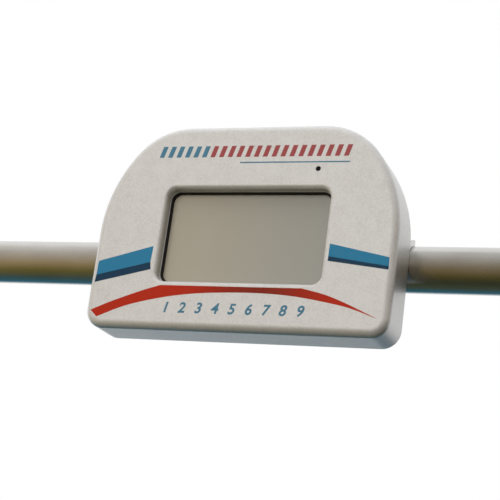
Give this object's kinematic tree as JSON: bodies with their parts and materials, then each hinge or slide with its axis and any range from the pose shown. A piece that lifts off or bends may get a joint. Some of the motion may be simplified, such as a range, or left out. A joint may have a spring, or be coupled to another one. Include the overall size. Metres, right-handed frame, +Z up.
{
  "type": "exercise machine control console",
  "caption": "Flat silver control console with a sunk screen, clamped on a straight round handrail so that it slides along the rail and tilts about it.",
  "frame": {"origin": "on the handrail's axis, behind the middle of the console's width; the screen's centre is 10.3 mm higher", "axes": "+X along the handrail to the user's right, +Y away from the user, +Z up; the console's face looks along -Y"},
  "size_m": [0.6, 0.0955, 0.196],
  "materials": {
    "rail_steel": "satin tube",
    "nylon": "moulded black nylon",
    "clamp_aluminium": "machined, plain",
    "silver_shell": "cast, silver paint with a fine speckle, satin",
    "grey_cover": "grey powder coat",
    "zinc_steel": "zinc plated",
    "sheet_steel": "plain sheet",
    "nickel_brass": "nickel plated",
    "rubber": "black rubber",
    "screen_glass": "matt anti-glare glass, screen off",
    "display_panel": "dark panel in a metal frame",
    "circuit_board": "green solder mask",
    "black_moulding": "moulded black",
    "amber_film": "amber film",
    "dark_lens": "dark clear lens",
    "black_fitting": "moulded black fitting",
    "red_button": "moulded red",
    "black_lead": "black insulated lead"
  },
  "bodies": {
    "rail": {"handrail_tube": "rail_steel"},
    "carriage": {"liner_left": "nylon", "liner_right": "nylon"},
    "console": {"saddle": "clamp_aluminium", "clamp_cap_left": "clamp_aluminium", "clamp_cap_right": "clamp_aluminium", "clamp_bolt_1": "zinc_steel", "clamp_bolt_2": "zinc_steel", "clamp_bolt_3": "zinc_steel", "clamp_bolt_4": "zinc_steel", "saddle_screw_1": "zinc_steel", "saddle_screw_2": "zinc_steel", "saddle_screw_3": "zinc_steel", "saddle_screw_4": "zinc_steel", "front_shell": "silver_shell", "window_gasket": "rubber", "cover_glass": "screen_glass", "display_panel": "display_panel", "display_bracket_left": "sheet_steel", "display_bracket_right": "sheet_steel", "board_pillar_1": "nickel_brass", "board_pillar_2": "nickel_brass", "board_pillar_3": "nickel_brass", "board_pillar_4": "nickel_brass", "board_screw_1": "zinc_steel", "board_screw_2": "zinc_steel", "board_screw_3": "zinc_steel", "board_screw_4": "zinc_steel", "main_board": "circuit_board", "heat_spreader": "clamp_aluminium", "coin_cell": "sheet_steel", "display_ribbon": "amber_film", "sensor_lens": "dark_lens", "sensor_board": "circuit_board", "sensor_screw_1": "zinc_steel", "rear_cover": "grey_cover", "rear_seal": "rubber", "cover_screw_1": "zinc_steel", "cover_screw_2": "zinc_steel", "cover_screw_3": "zinc_steel", "cover_screw_4": "zinc_steel", "cover_screw_5": "zinc_steel", "cover_screw_6": "zinc_steel", "speaker": "black_moulding", "sensor_socket_left": "black_fitting", "sensor_socket_right": "black_fitting", "sensor_socket_nut_left": "nickel_brass", "sensor_socket_nut_right": "nickel_brass", "power_inlet": "black_fitting", "power_inlet_nut": "nickel_brass", "button_bezel": "black_fitting", "button_nut": "nickel_brass", "button_switch": "black_moulding", "sensor_lead_left": "black_lead", "sensor_lead_right": "black_lead", "inlet_lead": "black_lead", "button_lead": "black_lead", "speaker_lead": "black_lead"},
    "power_button": {"power_button": "red_button"}
  },
  "joints": [
    {"name": "rail_slide", "type": "slide", "parent": "rail", "child": "carriage", "axis": [1, 0, 0], "range_m": [-0.12, 0.12]},
    {"name": "console_tilt", "type": "hinge", "parent": "carriage", "child": "console", "pos_m": [0, 0, 0], "axis": [1, 0, 0], "range_deg": [-60, 45]},
    {"name": "power_button_press", "type": "slide", "parent": "console", "child": "power_button", "axis": [0, -1, 0], "range_m": [0, 0.0015], "stiffness_N_per_m": 800, "springref_m": -0.0005}
  ]
}
